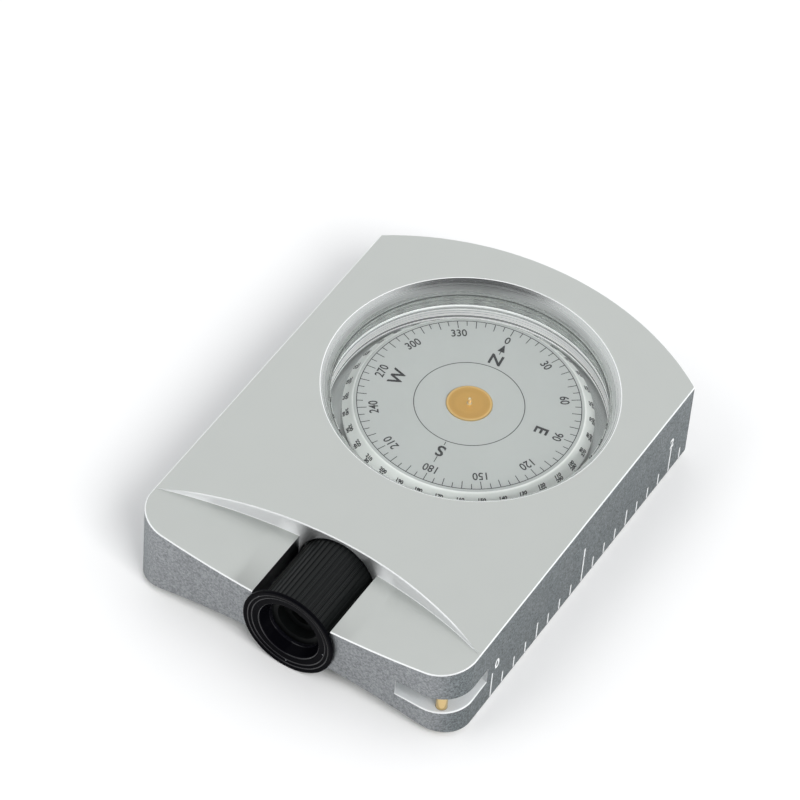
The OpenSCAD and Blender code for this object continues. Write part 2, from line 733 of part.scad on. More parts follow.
body();
back_cover();
cover_screws();
capsule_pad();
capsule_cup();
capsule_lid();
fill_plug();
pivot_post();
sight_hairline();
lanyard_pin();
ruler_paint();
guide_tube();
friction_ring();
retaining_clip();
card();
magnet_bars();
card_hub();
hub_jewel();
guard_pin();
focus_ring();
eyecup();
lens_cell();
lens();
lens_retainer();
drive_pin();
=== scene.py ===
import math

import bmesh
import bpy
from mathutils import Matrix, Vector


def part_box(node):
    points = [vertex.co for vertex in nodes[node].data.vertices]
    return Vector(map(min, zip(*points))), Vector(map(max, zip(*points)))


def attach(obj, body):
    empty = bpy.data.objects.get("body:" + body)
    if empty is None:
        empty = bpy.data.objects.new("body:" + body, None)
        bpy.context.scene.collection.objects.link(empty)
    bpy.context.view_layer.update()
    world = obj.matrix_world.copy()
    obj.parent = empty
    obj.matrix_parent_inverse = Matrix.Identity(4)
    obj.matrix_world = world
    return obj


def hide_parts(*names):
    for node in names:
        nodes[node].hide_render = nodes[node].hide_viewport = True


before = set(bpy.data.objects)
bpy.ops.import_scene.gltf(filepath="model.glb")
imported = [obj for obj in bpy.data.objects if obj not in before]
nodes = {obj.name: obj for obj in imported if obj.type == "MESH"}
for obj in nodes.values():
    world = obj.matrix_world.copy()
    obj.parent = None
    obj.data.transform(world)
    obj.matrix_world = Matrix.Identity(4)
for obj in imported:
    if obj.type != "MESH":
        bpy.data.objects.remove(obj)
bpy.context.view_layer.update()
MM = 0.001

# Sizes read from the CAD nodes.
body_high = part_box("body")[1]
half_width = body_high.x
top_z = body_high.z
card_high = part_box("card")[1]
card_radius = card_high.x
card_z = card_high.z
lid_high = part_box("capsule_lid")[1]
capsule_radius = lid_high.x
lid_z = lid_high.z
cup_foot_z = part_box("capsule_cup")[0].z
hub_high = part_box("card_hub")[1]
guard_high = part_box("guard_pin")[1]
ring_low, ring_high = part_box("focus_ring")
axis_z = (ring_low.z + ring_high.z) / 2

# Sizes repeated from the CAD source. Angles are in degrees.
WELL_RIM_RADIUS = 21.85 * MM
WELL_WALL_RADIUS = 20.85 * MM
SCOOP_Y = -35.4 * MM
SCOOP_DEPTH = 3.0 * MM
STEP_RADIUS = 58.0 * MM
STEP_MIDDLE = Vector((0, SCOOP_Y - STEP_RADIUS))
RING_CUT_HALF = 6.45 * MM
LANYARD_CUT = Vector((23.5, -45.1)) * MM
LANYARD_CUT_RADIUS = 6.9 * MM
LANYARD_PIN = Vector((23.813, -46.154)) * MM
RULER_ZERO_Y = -37.6 * MM
RULER_INCH = 25.4 * MM
CARD_TURN = 7.3
CARD_LEAN = 28.0
CARD_SLOPE_HEIGHT = 2.75 * MM

# The camera, fitted to the photograph. Angles are in degrees, lens and sensor in millimetres.
CAMERA_AZIMUTH, CAMERA_ELEVATION, CAMERA_ROLL = 27.977, 47.818, 5.054
CAMERA_DISTANCE = 0.66437
CAMERA_TARGET = Vector((-9.659, -3.275, 7.75)) * MM
CAMERA_LENS, CAMERA_SENSOR = 205.08, 36.0
CAMERA_NEAREST, CAMERA_FARTHEST = 0.01, 20.0


def add_camera():
    """The camera of the photograph, turned a little about its own line of sight."""
    a, e = math.radians(CAMERA_AZIMUTH), math.radians(CAMERA_ELEVATION)
    back = Vector((math.sin(a) * math.cos(e), -math.cos(a) * math.cos(e), math.sin(e)))
    data = bpy.data.cameras.new("photo_camera")
    data.lens, data.sensor_width = CAMERA_LENS, CAMERA_SENSOR
    data.clip_start, data.clip_end = CAMERA_NEAREST, CAMERA_FARTHEST
    cam = bpy.data.objects.new("photo_camera", data)
    bpy.context.scene.collection.objects.link(cam)
    level = (-back).to_track_quat("-Z", "Y").to_matrix()
    rolled = level @ Matrix.Rotation(math.radians(CAMERA_ROLL), 3, "Z")
    cam.matrix_world = Matrix.Translation(CAMERA_TARGET + back * CAMERA_DISTANCE) @ rolled.to_4x4()
    bpy.context.scene.camera = cam


# Node helpers. The numbers are the places of a Mix node's colour sockets.
MIX_FACTOR, MIX_A, MIX_B, MIX_RESULT = 0, 6, 7, 2
SOCKET_KINDS = {
    "value": "NodeSocketFloat", "colour": "NodeSocketColor", "vector": "NodeSocketVector"}


def make_group(name, inputs, outputs):
    """A shader node group with named sockets; returns (group, its input node, its output node)."""
    group = bpy.data.node_groups.new(name, "ShaderNodeTree")
    for socket_name, kind, default in inputs:
        socket = group.interface.new_socket(
            name=socket_name, in_out="INPUT", socket_type=SOCKET_KINDS[kind])
        if default is not None:
            socket.default_value = default
    for socket_name, kind in outputs:
        group.interface.new_socket(
            name=socket_name, in_out="OUTPUT", socket_type=SOCKET_KINDS[kind])
    return group, group.nodes.new("NodeGroupInput"), group.nodes.new("NodeGroupOutput")


def wire(tree, source, target):
    """Leads one socket to another, or sets a socket to a plain number or colour."""
    if isinstance(source, (int, float, tuple)):
        target.default_value = source
    else:
        tree.links.new(source, target)


def math_node(tree, operation, a, b=None, clamp=False):
    """A Math node; a and b are sockets or numbers. Returns its output."""
    node = tree.nodes.new("ShaderNodeMath")
    node.operation = operation
    node.use_clamp = clamp
    wire(tree, a, node.inputs[0])
    if b is not None:
        wire(tree, b, node.inputs[1])
    return node.outputs[0]


def ramp_node(tree, value, low, high, out_low=0.0, out_high=1.0):
    """A smooth Map Range node; returns its output."""
    node = tree.nodes.new("ShaderNodeMapRange")
    node.interpolation_type = "SMOOTHSTEP"
    given = {"Value": value, "From Min": low, "From Max": high,
             "To Min": out_low, "To Max": out_high}
    for socket_name, source in given.items():
        wire(tree, source, node.inputs[socket_name])
    return node.outputs["Result"]


def mix_node(tree, factor, a, b):
    """A colour Mix node; returns its output."""
    node = tree.nodes.new("ShaderNodeMix")
    node.data_type = "RGBA"
    for place, source in ((MIX_FACTOR, factor), (MIX_A, a), (MIX_B, b)):
        wire(tree, source, node.inputs[place])
    return node.outputs[MIX_RESULT]


def noise_node(tree, vector, scale, detail, roughness):
    """A Noise Texture node; returns its value."""
    node = tree.nodes.new("ShaderNodeTexNoise")
    given = {"Vector": vector, "Scale": scale, "Detail": detail, "Roughness": roughness}
    for socket_name, source in given.items():
        wire(tree, source, node.inputs[socket_name])
    return node.outputs["Fac"]


def axes_of(tree, vector):
    """The X, Y and Z of a vector socket, as three sockets."""
    node = tree.nodes.new("ShaderNodeSeparateXYZ")
    wire(tree, vector, node.inputs[0])
    return node.outputs


# Effects that several materials share.
BROAD_GRAIN_PER_METRE = 260.0
BROAD_CONTRAST = 0.35
COARSE_RING_SHARE = 0.3
FULL_TURN = 6.2832


def grain_group():
    """Blasted or anodised grain: two sizes of mottling between a light and a dark colour."""
    group, given, out = make_group(
        "metal_grain",
        [("Vector", "vector", None),
         ("Light", "colour", (0.8, 0.8, 0.8, 1)), ("Dark", "colour", (0.6, 0.6, 0.6, 1)),
         ("Grain per metre", "value", 5000.0), ("Contrast", "value", 0.5),
         ("Smoothest", "value", 0.3), ("Roughest", "value", 0.5)],
        [("Colour", "colour"), ("Roughness", "value"), ("Height", "value")],
    )
    given, out = given.outputs, out.inputs
    fine = noise_node(group, given["Vector"], given["Grain per metre"], detail=2.0, roughness=0.7)
    broad = noise_node(group, given["Vector"], BROAD_GRAIN_PER_METRE, detail=3.0, roughness=0.5)
    fine_change = math_node(group, "SUBTRACT", fine, 0.5)
    broad_change = math_node(group, "SUBTRACT", broad, 0.5)
    spread = math_node(group, "MULTIPLY", fine_change, given["Contrast"])
    drift = math_node(group, "MULTIPLY", broad_change, BROAD_CONTRAST)
    shade = math_node(group, "ADD", math_node(group, "ADD", spread, drift), 0.5, clamp=True)
    roughness = ramp_node(group, broad, 0.2, 0.8, given["Smoothest"], given["Roughest"])
    wire(group, mix_node(group, shade, given["Dark"], given["Light"]), out["Colour"])
    wire(group, roughness, out["Roughness"])
    wire(group, fine, out["Height"])
    return group


def turned_group():
    """Fine rings left by a lathe, round the Z axis of the vector."""
    group, given, out = make_group(
        "lathe_rings",
        [("Vector", "vector", None), ("Rings per metre", "value", 9000.0),
         ("Uneven", "value", 0.6)],
        [("Height", "value"), ("Streak", "value"), ("Radius", "value")],
    )
    given, out = given.outputs, out.inputs
    x, y, z = axes_of(group, given["Vector"])
    squares = math_node(
        group, "ADD", math_node(group, "MULTIPLY", x, x), math_node(group, "MULTIPLY", y, y))
    radius = math_node(group, "SQRT", squares)
    across = math_node(group, "ADD", radius, z)
    line = group.nodes.new("ShaderNodeCombineXYZ")
    wire(group, across, line.inputs[0])
    coarse_scale = math_node(group, "MULTIPLY", given["Rings per metre"], COARSE_RING_SHARE)
    coarse = noise_node(group, line.outputs[0], coarse_scale, detail=2.0, roughness=0.6)
    turns = math_node(group, "MULTIPLY", given["Rings per metre"], FULL_TURN)
    wave = math_node(group, "SINE", math_node(group, "MULTIPLY", across, turns))
    height = math_node(
        group, "ADD", math_node(group, "MULTIPLY", wave, 0.5),
        math_node(group, "MULTIPLY", coarse, given["Uneven"]))
    wire(group, height, out["Height"])
    wire(group, ramp_node(group, coarse, 0.35, 0.65), out["Streak"])
    wire(group, radius, out["Radius"])
    return group


def specks_group():
    """Sparse specks: dust and small marks, and painted glints."""
    group, given, out = make_group(
        "dust_and_glint_specks",
        [("Vector", "vector", None), ("Specks per metre", "value", 900.0),
         ("Size", "value", 0.12), ("Share", "value", 0.3)],
        [("Mask", "value")],
    )
    given, out = given.outputs, out.inputs
    cells = group.nodes.new("ShaderNodeTexVoronoi")
    wire(group, given["Vector"], cells.inputs["Vector"])
    wire(group, given["Specks per metre"], cells.inputs["Scale"])
    chance = group.nodes.new("ShaderNodeSeparateColor")
    wire(group, cells.outputs["Color"], chance.inputs[0])
    inside = math_node(group, "LESS_THAN", cells.outputs["Distance"], given["Size"])
    picked = math_node(group, "LESS_THAN", chance.outputs[0], given["Share"])
    wire(group, math_node(group, "MULTIPLY", inside, picked), out["Mask"])
    return group


GRAIN, TURNED, SPECKS = grain_group(), turned_group(), specks_group()


# Materials.
QUARTER_TURN = 0.25


class Finish:
    """A material with its Principled BSDF, and short ways to place the shared groups in it."""

    def __init__(self, name, **plain):
        """plain holds the values of the shader's own sockets, with _ for a space in their names."""
        self.material = bpy.data.materials.new(name)
        self.material.use_nodes = True
        self.tree = self.material.node_tree
        self.shader = self.tree.nodes["Principled BSDF"]
        for socket_name, value in plain.items():
            self.shader.inputs[socket_name.replace("_", " ")].default_value = value
        coordinates = self.tree.nodes.new("ShaderNodeTexCoord").outputs
        self.place, self.facing = coordinates["Object"], coordinates["Normal"]

    def group(self, group, **values):
        """Places a shared group with its own values; returns its outputs."""
        node = self.tree.nodes.new("ShaderNodeGroup")
        node.node_tree = group
        wire(self.tree, self.place, node.inputs["Vector"])
        for socket_name, value in values.items():
            node.inputs[socket_name.replace("_", " ")].default_value = value
        return node.outputs

    def feed(self, socket_name, source):
        """Leads a node's output to a socket of the shader."""
        wire(self.tree, source, self.shader.inputs[socket_name])

    def ramp(self, value, low, high, out_low=0.0, out_high=1.0):
        """A ramp_node in this material."""
        return ramp_node(self.tree, value, low, high, out_low, out_high)

    def blend(self, mask, colour, other):
        """Makes the colour turn into the other where the mask is 1."""
        self.feed("Base Color", mix_node(self.tree, mask, colour, other))

    def bump(self, height, strength, depth):
        """Bumps the surface; the depth is in millimetres."""
        node = self.tree.nodes.new("ShaderNodeBump")
        node.inputs["Strength"].default_value = strength
        node.inputs["Distance"].default_value = depth * MM
        wire(self.tree, height, node.inputs["Height"])
        self.feed("Normal", node.outputs["Normal"])


def grained(name, light, dark, grain, contrast, rough, bump=None, **plain):
    """A finish with grain between two colours, so many grains to a metre. rough is its least and
    most roughness, bump the strength of the grain's bump and its depth in millimetres."""
    finish = Finish(name, **plain)
    made = finish.group(GRAIN, Light=(*light, 1), Dark=(*dark, 1), Grain_per_metre=grain,
                        Contrast=contrast, Smoothest=rough[0], Roughest=rough[1])
    finish.colour = made["Colour"]
    finish.feed("Base Color", finish.colour)
    finish.feed("Roughness", made["Roughness"])
    if bump:
        finish.bump(made["Height"], *bump)
    return finish


def turned(name, light, dark, rings, rough, bump, stretch=0.0, **plain):
    """Metal turned on a lathe about the dial's axis; stretch draws its reflections out across the
    rings. rough and bump are as in grained."""
    finish = Finish(name, **plain)
    finish.rings = finish.group(TURNED, Rings_per_metre=rings)
    if stretch:
        finish.shader.inputs["Anisotropic"].default_value = stretch
        finish.shader.inputs["Anisotropic Rotation"].default_value = QUARTER_TURN
        round_axis = finish.tree.nodes.new("ShaderNodeTangent")
        round_axis.direction_type = "RADIAL"
        round_axis.axis = "Z"
        finish.feed("Tangent", round_axis.outputs["Tangent"])
    streak = finish.rings["Streak"]
    finish.colour = mix_node(finish.tree, streak, (*dark, 1), (*light, 1))
    finish.feed("Base Color", finish.colour)
    finish.feed("Roughness", finish.ramp(streak, 0.3, 0.7, *rough))
    finish.bump(finish.rings["Height"], *bump)
    return finish


# The body's aluminium.
satin = grained("satin_anodised", (0.66, 0.68, 0.655), (0.62, 0.64, 0.615), 9000.0, 0.5,
                rough=(0.38, 0.44), bump=(0.15, 0.01), Metallic=1.0)
# The upright faces are painted darker than the top: painted shade, on the grain of their blasting.
shaded_blasted = grained("blasted_shaded_sides", (0.45, 0.468, 0.482), (0.165, 0.173, 0.183), 3400.0, 1.9,
                  rough=(0.42, 0.55), bump=(0.25, 0.02), Metallic=1.0)
milled_step = grained("milled_step", (0.97, 0.99, 0.99), (0.91, 0.93, 0.93), 6000.0, 0.6,
                      rough=(0.40, 0.52), bump=(0.2, 0.01))
milled_cut = grained("milled_cut", (0.76, 0.79, 0.80), (0.70, 0.73, 0.74), 6000.0, 0.6,
                     rough=(0.30, 0.42), bump=(0.2, 0.01), Metallic=1.0)
milled_slot = grained("milled_slot", (0.82, 0.84, 0.85), (0.70, 0.72, 0.73), 6000.0, 0.8,
                      rough=(0.45, 0.60), bump=(0.2, 0.01), Metallic=0.3)
edge = grained("bright_edge", (0.98, 0.99, 0.99), (0.90, 0.92, 0.92), 4000.0, 1.0,
               rough=(0.30, 0.45), bump=(0.2, 0.02), Metallic=0.2)
well = turned("turned_well", (0.76, 0.78, 0.77), (0.60, 0.62, 0.61), 6000.0,
              rough=(0.27, 0.38), bump=(0.25, 0.02), Metallic=0.95)
upper_wall = turned("turned_upper_wall", (0.97, 0.99, 0.98), (0.66, 0.68, 0.67), 2600.0,
                    rough=(0.16, 0.28), bump=(1.0, 0.06), Metallic=0.9)

# The long sides are painted darker than the ends: painted shade for the less light they get, on the
# same grain.
side_painted_shade = shaded_blasted.group(GRAIN, Light=(0.285, 0.318, 0.33, 1), Dark=(0.085, 0.097, 0.102, 1),
                           Grain_per_metre=3400.0, Contrast=2.6)
sideways = math_node(shaded_blasted.tree, "ABSOLUTE", axes_of(shaded_blasted.tree, shaded_blasted.facing)[0])
shaded_blasted.blend(shaded_blasted.ramp(sideways, 0.2, 0.95), shaded_blasted.colour, side_painted_shade["Colour"])

# The step mirrors the ring beside it; its outer ends are bare and pale.
BRIGHT_STEP_FROM, BRIGHT_STEP_TO = 5.2 * MM, 7.6 * MM
from_ring = math_node(milled_step.tree, "ABSOLUTE", axes_of(milled_step.tree, milled_step.place)[0])
milled_step.feed("Metallic", milled_step.ramp(
    from_ring, BRIGHT_STEP_FROM, BRIGHT_STEP_TO, 0.8, 0.08))

# The wall seen through the clear capsule, with a weak painted glow in rings: painted light and
# painted highlights that stand in for the light the capsule gathers.
lower_wall = turned("turned_lower_wall_painted_glow", (0.98, 1.0, 1.0), (0.45, 0.46, 0.46), 4200.0,
                    rough=(0.26, 0.40), bump=(0.5, 0.04), stretch=0.5, Metallic=0.3,
                    Emission_Strength=0.55)
painted_glow = lower_wall.ramp(lower_wall.rings["Streak"], 0.30, 0.95)
lower_wall.feed("Emission Color", mix_node(
    lower_wall.tree, painted_glow, (0.12, 0.125, 0.125, 1), (1.0, 1.0, 1.0, 1)))

# Other metals.
cover_finish = turned("turned_cover", (0.62, 0.63, 0.63), (0.52, 0.53, 0.53), 3500.0,
                      rough=(0.28, 0.42), bump=(0.4, 0.02), stretch=0.5, Metallic=1.0)
steel = grained("plain_steel", (0.62, 0.63, 0.65), (0.48, 0.49, 0.51), 6000.0, 0.8,
                rough=(0.22, 0.34), bump=(0.15, 0.01), Metallic=1.0)
magnet = grained("magnet_iron", (0.16, 0.16, 0.17), (0.10, 0.10, 0.11), 3000.0, 1.0,
                 rough=(0.4, 0.55), bump=(0.2, 0.02), Metallic=1.0)
brass_pin = grained("polished_brass", (0.78, 0.59, 0.30), (0.66, 0.47, 0.21), 5000.0, 0.8,
                    rough=(0.10, 0.20), bump=(0.10, 0.01), Metallic=1.0)
pale_brass = grained("pale_brass", (0.95, 0.80, 0.50), (0.85, 0.68, 0.38), 5000.0, 0.8,
                     rough=(0.14, 0.24), bump=(0.10, 0.01), Metallic=0.7)
brass_disc = turned("turned_brass", (0.70, 0.41, 0.115), (0.62, 0.355, 0.095), 3000.0,
                    rough=(0.28, 0.38), bump=(0.15, 0.02), Metallic=1.0)

# The disc's rounded rim is painted in a lighter brass: a painted highlight.
RIM_FROM, RIM_TO = hub_high.x - 0.42 * MM, hub_high.x - 0.30 * MM
brass_disc.blend(brass_disc.ramp(brass_disc.rings["Radius"], RIM_FROM, RIM_TO),
                 brass_disc.colour, (0.80, 0.54, 0.21, 1))

# Black parts, rubber and paint.
black = grained("satin_black", (0.009, 0.010, 0.010), (0.005, 0.006, 0.006), 5000.0, 1.0,
                rough=(0.34, 0.46), bump=(0.25, 0.02), Specular_IOR_Level=0.20)
gloss_black = grained("gloss_black", (0.003, 0.003, 0.0045), (0.0012, 0.0012, 0.002), 3000.0,
                      0.6, rough=(0.12, 0.24), bump=(0.05, 0.01), Specular_IOR_Level=0.02)
worn_black = grained("worn_black_edge", (0.008, 0.008, 0.011), (0.003, 0.003, 0.005), 2400.0,
                     2.4, rough=(0.12, 0.22), bump=(0.1, 0.01), Specular_IOR_Level=0.55)
rubber = grained("soft_rubber", (0.03, 0.03, 0.03), (0.018, 0.018, 0.018), 4000.0, 1.0,
                 rough=(0.6, 0.75), bump=(0.3, 0.02))
ink = grained("printing_ink", (0.012, 0.012, 0.014), (0.006, 0.006, 0.008), 9000.0, 1.0,
              rough=(0.4, 0.5))
ruler_white = grained("groove_paint", (0.95, 0.96, 0.96), (0.84, 0.86, 0.87), 7000.0, 1.2,
                      rough=(0.5, 0.65), bump=(0.2, 0.02))
# The card's grey face colour is painted shade over its white.
card_white = grained("card_white", (0.44, 0.457, 0.45), (0.42, 0.437, 0.43), 3000.0, 0.5,
                     rough=(0.40, 0.5), bump=(0.05, 0.01))

# Light grey specks on the black: dust, and painted glints.
gloss_dust_and_glints = gloss_black.group(SPECKS, Specks_per_metre=1400.0, Size=0.13, Share=0.05)
gloss_black.blend(gloss_dust_and_glints["Mask"], gloss_black.colour, (0.25, 0.26, 0.28, 1))

# The card's face is painted grey, as painted shade for its look through the liquid; its leaning
# side is painted white, as painted light from the wall.
CARD_FACE_FROM, CARD_FACE_TO = card_z - 0.12 * MM, card_z - 0.04 * MM
painted_light_side = card_white.group(GRAIN, Light=(0.93, 0.95, 0.93, 1), Dark=(0.84, 0.86, 0.84, 1),
                              Grain_per_metre=3000.0, Contrast=0.5)
height_on_card = axes_of(card_white.tree, card_white.place)[2]
card_white.blend(card_white.ramp(height_on_card, CARD_FACE_FROM, CARD_FACE_TO),
                 painted_light_side["Colour"], card_white.colour)


def clear_finish(name, tint, ior, clear_shadow):
    """A clear solid. A share of its shadow is left out, so that what lies inside is lit."""
    finish = Finish(name, Base_Color=tint, Roughness=0.0, IOR=ior, Transmission_Weight=1.0)
    tree = finish.tree
    smudge = noise_node(tree, finish.place, 300.0, detail=2.0, roughness=0.5)
    finish.feed("Roughness", finish.ramp(smudge, 0.45, 0.8, 0.0, 0.03))
    path = tree.nodes.new("ShaderNodeLightPath")
    passing = tree.nodes.new("ShaderNodeBsdfTransparent")
    passing.inputs["Color"].default_value = clear_shadow
    blend = tree.nodes.new("ShaderNodeMixShader")
    wire(tree, path.outputs["Is Shadow Ray"], blend.inputs[0])
    wire(tree, finish.shader.outputs[0], blend.inputs[1])
    wire(tree, passing.outputs[0], blend.inputs[2])
    wire(tree, blend.outputs[0], tree.nodes["Material Output"].inputs["Surface"])
    return finish


clear = clear_finish("clear_capsule", (0.97, 0.99, 0.98, 1), 1.47, (0.93, 0.95, 0.94, 1))
lens_glass = clear_finish("lens_glass", (0.96, 0.98, 1.0, 1), 1.52, (0.9, 0.92, 0.93, 1))
jewel = clear_finish("red_jewel", (0.75, 0.10, 0.20, 1), 1.76, (0.7, 0.2, 0.3, 1))


def dress(obj, *finishes):
    """Gives a mesh these finishes in place of its own; a new mesh's faces keep their numbers."""
    if obj.data.materials:
        obj.data.materials.clear()
    for finish in finishes:
        obj.data.materials.append(finish.material)


# Mesh helpers.
CAPITAL_HEIGHT = 0.73  # of the built-in letters at size 1
MERGE = 1e-7  # points closer than this are one, in metres


def new_piece(name, bm, body, slot, *finishes, smooth_angle=30.0):
    """A new object from a bmesh, with its finishes, riding a body. The slot is not used."""
    mesh = bpy.data.meshes.new(name)
    bm.to_mesh(mesh)
    bm.free()
    obj = bpy.data.objects.new(name, mesh)
    bpy.context.scene.collection.objects.link(obj)
    dress(obj, *finishes)
    for face in mesh.polygons:
        face.use_smooth = True
    mesh.set_sharp_from_angle(angle=math.radians(smooth_angle))
    if body:
        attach(obj, body)
    return obj


def finished_bmesh(obj):
    """What an object looks like with its modifiers, as a bmesh. The object is removed."""
    bpy.context.scene.collection.objects.link(obj)
    bpy.context.view_layer.update()
    finished = obj.evaluated_get(bpy.context.evaluated_depsgraph_get())
    mesh = bpy.data.meshes.new_from_object(finished)
    bpy.data.objects.remove(obj)
    bm = bmesh.new()
    bm.from_mesh(mesh)
    bpy.data.meshes.remove(mesh)
    return bm


def circle_point(radius, turn, z):
    """A point at a radius, an angle in radians and a height."""
    return radius * math.cos(turn), radius * math.sin(turn), z


def lathe(bm, profile, steps):
    """Turns a profile of (radius, z) points about Z. A radius of 0 closes it to a point. The
    profile runs up the outside."""
    turns = [2 * math.pi * i / steps for i in range(steps)]
    rings = []
    for r, z in profile:
        points = [(0, 0, z)] if r == 0 else [circle_point(r, turn, z) for turn in turns]
        rings.append([bm.verts.new(point) for point in points])
    for low, high in zip(rings, rings[1:]):
        for i in range(steps):
            k = (i + 1) % steps
            if len(low) == 1:
                corners = low[0], high[k], high[i]
            elif len(high) == 1:
                corners = low[i], low[k], high[0]
            else:
                corners = low[i], low[k], high[k], high[i]
            bm.faces.new(corners)


def text_bmesh(words, height, narrow, thick, bold=0.022):
    """Raised lettering centred on the origin. Its capitals are that high, its widths are scaled by
    narrow and its strokes are widened by bold."""
    scale = height / CAPITAL_HEIGHT
    curve = bpy.data.curves.new("words", "FONT")
    curve.body = words
    curve.size = 1.0
    curve.offset = bold
    curve.extrude = thick / 2 / scale
    curve.resolution_u = 4
    bm = finished_bmesh(bpy.data.objects.new("words", curve))
    bpy.data.curves.remove(curve)
    low = [min(v.co[i] for v in bm.verts) for i in range(2)]
    high = [max(v.co[i] for v in bm.verts) for i in range(2)]
    for v in bm.verts:
        v.co.x = (v.co.x - (low[0] + high[0]) / 2) * narrow * scale
        v.co.y = (v.co.y - (low[1] + high[1]) / 2) * scale
        v.co.z = v.co.z * scale
    return bm


def add_bmesh(bm, extra, matrix=None, move=None):
    """Adds extra to bm, through a matrix or a function of a point, and frees it."""
    for v in extra.verts:
        v.co = matrix @ v.co if matrix else move(v.co)
    mesh = bpy.data.meshes.new("part")
    extra.to_mesh(mesh)
    extra.free()
    bm.from_mesh(mesh)
    bpy.data.meshes.remove(mesh)


def add_box(bm, low, high, matrix=Matrix()):
    """Adds a box between two corners, through a matrix."""
    for v in bmesh.ops.create_cube(bm, size=1.0)["verts"]:
        v.co = matrix @ Vector([low[i] + (v.co[i] + 0.5) * (high[i] - low[i]) for i in range(3)])


# The body, with its bright chamfers. Its finishes are numbered in the order of BODY_FINISHES.
SATIN, SHADED_BLASTED, STEP, CUT, SLOT, WELL, WALL, EDGE = range(8)
BODY_FINISHES = (satin, shaded_blasted, milled_step, milled_cut, milled_slot, well, upper_wall, edge)
EDGE_WIDTH = 0.16 * MM
SHARP_ANGLE = 20.0  # degrees from which an edge is chamfered
FLAT_ANGLE = 0.4  # degrees up to which neighbouring faces are joined
SIDE_SINK = 0.012 * MM  # how far the ruler's side lies under the paint

# Where the parts of the body lie, to tell its faces and edges apart. LEVEL, UPRIGHT and FACING
# are shares of a face's normal along a direction.
NEAR = 0.15 * MM
VERY_NEAR = 0.05 * MM
LEVEL, UPRIGHT, FACING = 0.96, 0.3, 0.9
WELL_ZONE = 24 * MM
WELL_RIM_DEPTH = 0.5 * MM
SEAT_TOP_Z = 6 * MM
TUBE_BORE_RADIUS = 6.4 * MM
TUBE_BORE_Y = -36.2 * MM, -20 * MM
TUBE_MOUTH_Y = SCOOP_Y + 0.3 * MM
RING_CUT_END_Y = SCOOP_Y + 1.0 * MM
RING_CUT_EDGES_Y = SCOOP_Y + 0.5 * MM
LANYARD_CORNER = 15 * MM, -38 * MM
LANYARD_ZONE_Z = 4.5 * MM, 8.5 * MM
LANYARD_EDGES_Z = 4.8 * MM, 8.0 * MM
LANYARD_FLOOR_Z = 5.0 * MM
PIN_HOLE_ZONE = 1.1 * MM
GROOVES_DEEP = 0.2 * MM
GROOVES_Y = RULER_ZERO_Y - 1 * MM, 17.5 * MM
GROOVES_Z = 0.2 * MM, 5.5 * MM

# Shares of the full chamfer. The step's chamfers fade out where the step grows low.
RIM_CHAMFER = 0.45
STEP_TOP_CHAMFER = 0.9
STEP_FLOOR_CHAMFER = 0.4
FADE_FROM, FADE_OVER = 0.2 * MM, 0.8 * MM


def between(value, limits):
    """Whether a value lies inside a pair of limits."""
    return limits[0] < value < limits[1]


def in_tube_bore(c):
    """Whether a point lies in the bores for the ring's end and the guide tube."""
    return math.hypot(c.x, c.z - axis_z) < TUBE_BORE_RADIUS and between(c.y, TUBE_BORE_Y)


def in_lanyard_corner(c, heights):
    """Whether a point lies in the body's corner with the lanyard slot, between two heights."""
    return c.x > LANYARD_CORNER[0] and c.y < LANYARD_CORNER[1] and between(c.z, heights)


def surface_of(face):
    """The finish of a face of the body, told from where it lies and which way it looks."""
    n, c = face.normal, face.calc_center_median()
    from_axis = c.xy.length
    if abs(n.z) > LEVEL:
        if in_lanyard_corner(c, LANYARD_ZONE_Z):
            return SLOT
        in_well = from_axis < WELL_ZONE and VERY_NEAR < c.z < top_z - VERY_NEAR
        return WELL if in_well else SATIN
    upright = abs(n.z) < UPRIGHT
    if in_tube_bore(c) and (abs(n.y) < 0.5 or c.y > TUBE_MOUTH_Y):
        return CUT
    if from_axis < WELL_RIM_RADIUS + NEAR or from_axis < WELL_ZONE and n.dot(c) < 0:
        return WALL if upright else WELL
    if upright:
        from_step = c.xy - STEP_MIDDLE
        faces_step = n.xy.dot(from_step) < -FACING * STEP_RADIUS
        if abs(from_step.length - STEP_RADIUS) < NEAR and faces_step:
            return STEP
        from_cut = c.xy - LANYARD_CUT
        if abs(from_cut.length - LANYARD_CUT_RADIUS) < NEAR and n.xy.dot(from_cut) < 0:
            return SLOT
    beside_ring = abs(c.x) < RING_CUT_HALF + NEAR and c.y < RING_CUT_END_Y
    if abs(n.x) > FACING and beside_ring:
        return CUT
    return SHADED_BLASTED if upright else SATIN


def off_step(v):
    """How far a point lies from the curved step of the scoops, seen from above."""
    return abs((v.co.xy - STEP_MIDDLE).length - STEP_RADIUS)


def is_plain_edge(c):
    """Whether an edge with this middle stays as sharp as in the CAD."""
    from_axis = c.xy.length
    on_side = c.x > half_width - GROOVES_DEEP
    ruler_groove = on_side and between(c.z, GROOVES_Z) and between(c.y, GROOVES_Y)
    inside_well = from_axis < WELL_WALL_RADIUS + NEAR and c.z < top_z - WELL_RIM_DEPTH
    seat = from_axis < WELL_ZONE and c.z < SEAT_TOP_Z
    pin_hole = (c.xy - LANYARD_PIN).length < PIN_HOLE_ZONE
    beside_ring = abs(abs(c.x) - RING_CUT_HALF) < VERY_NEAR and c.y < RING_CUT_EDGES_Y
    return ruler_groove or inside_well or seat or pin_hole or beside_ring or in_tube_bore(c)


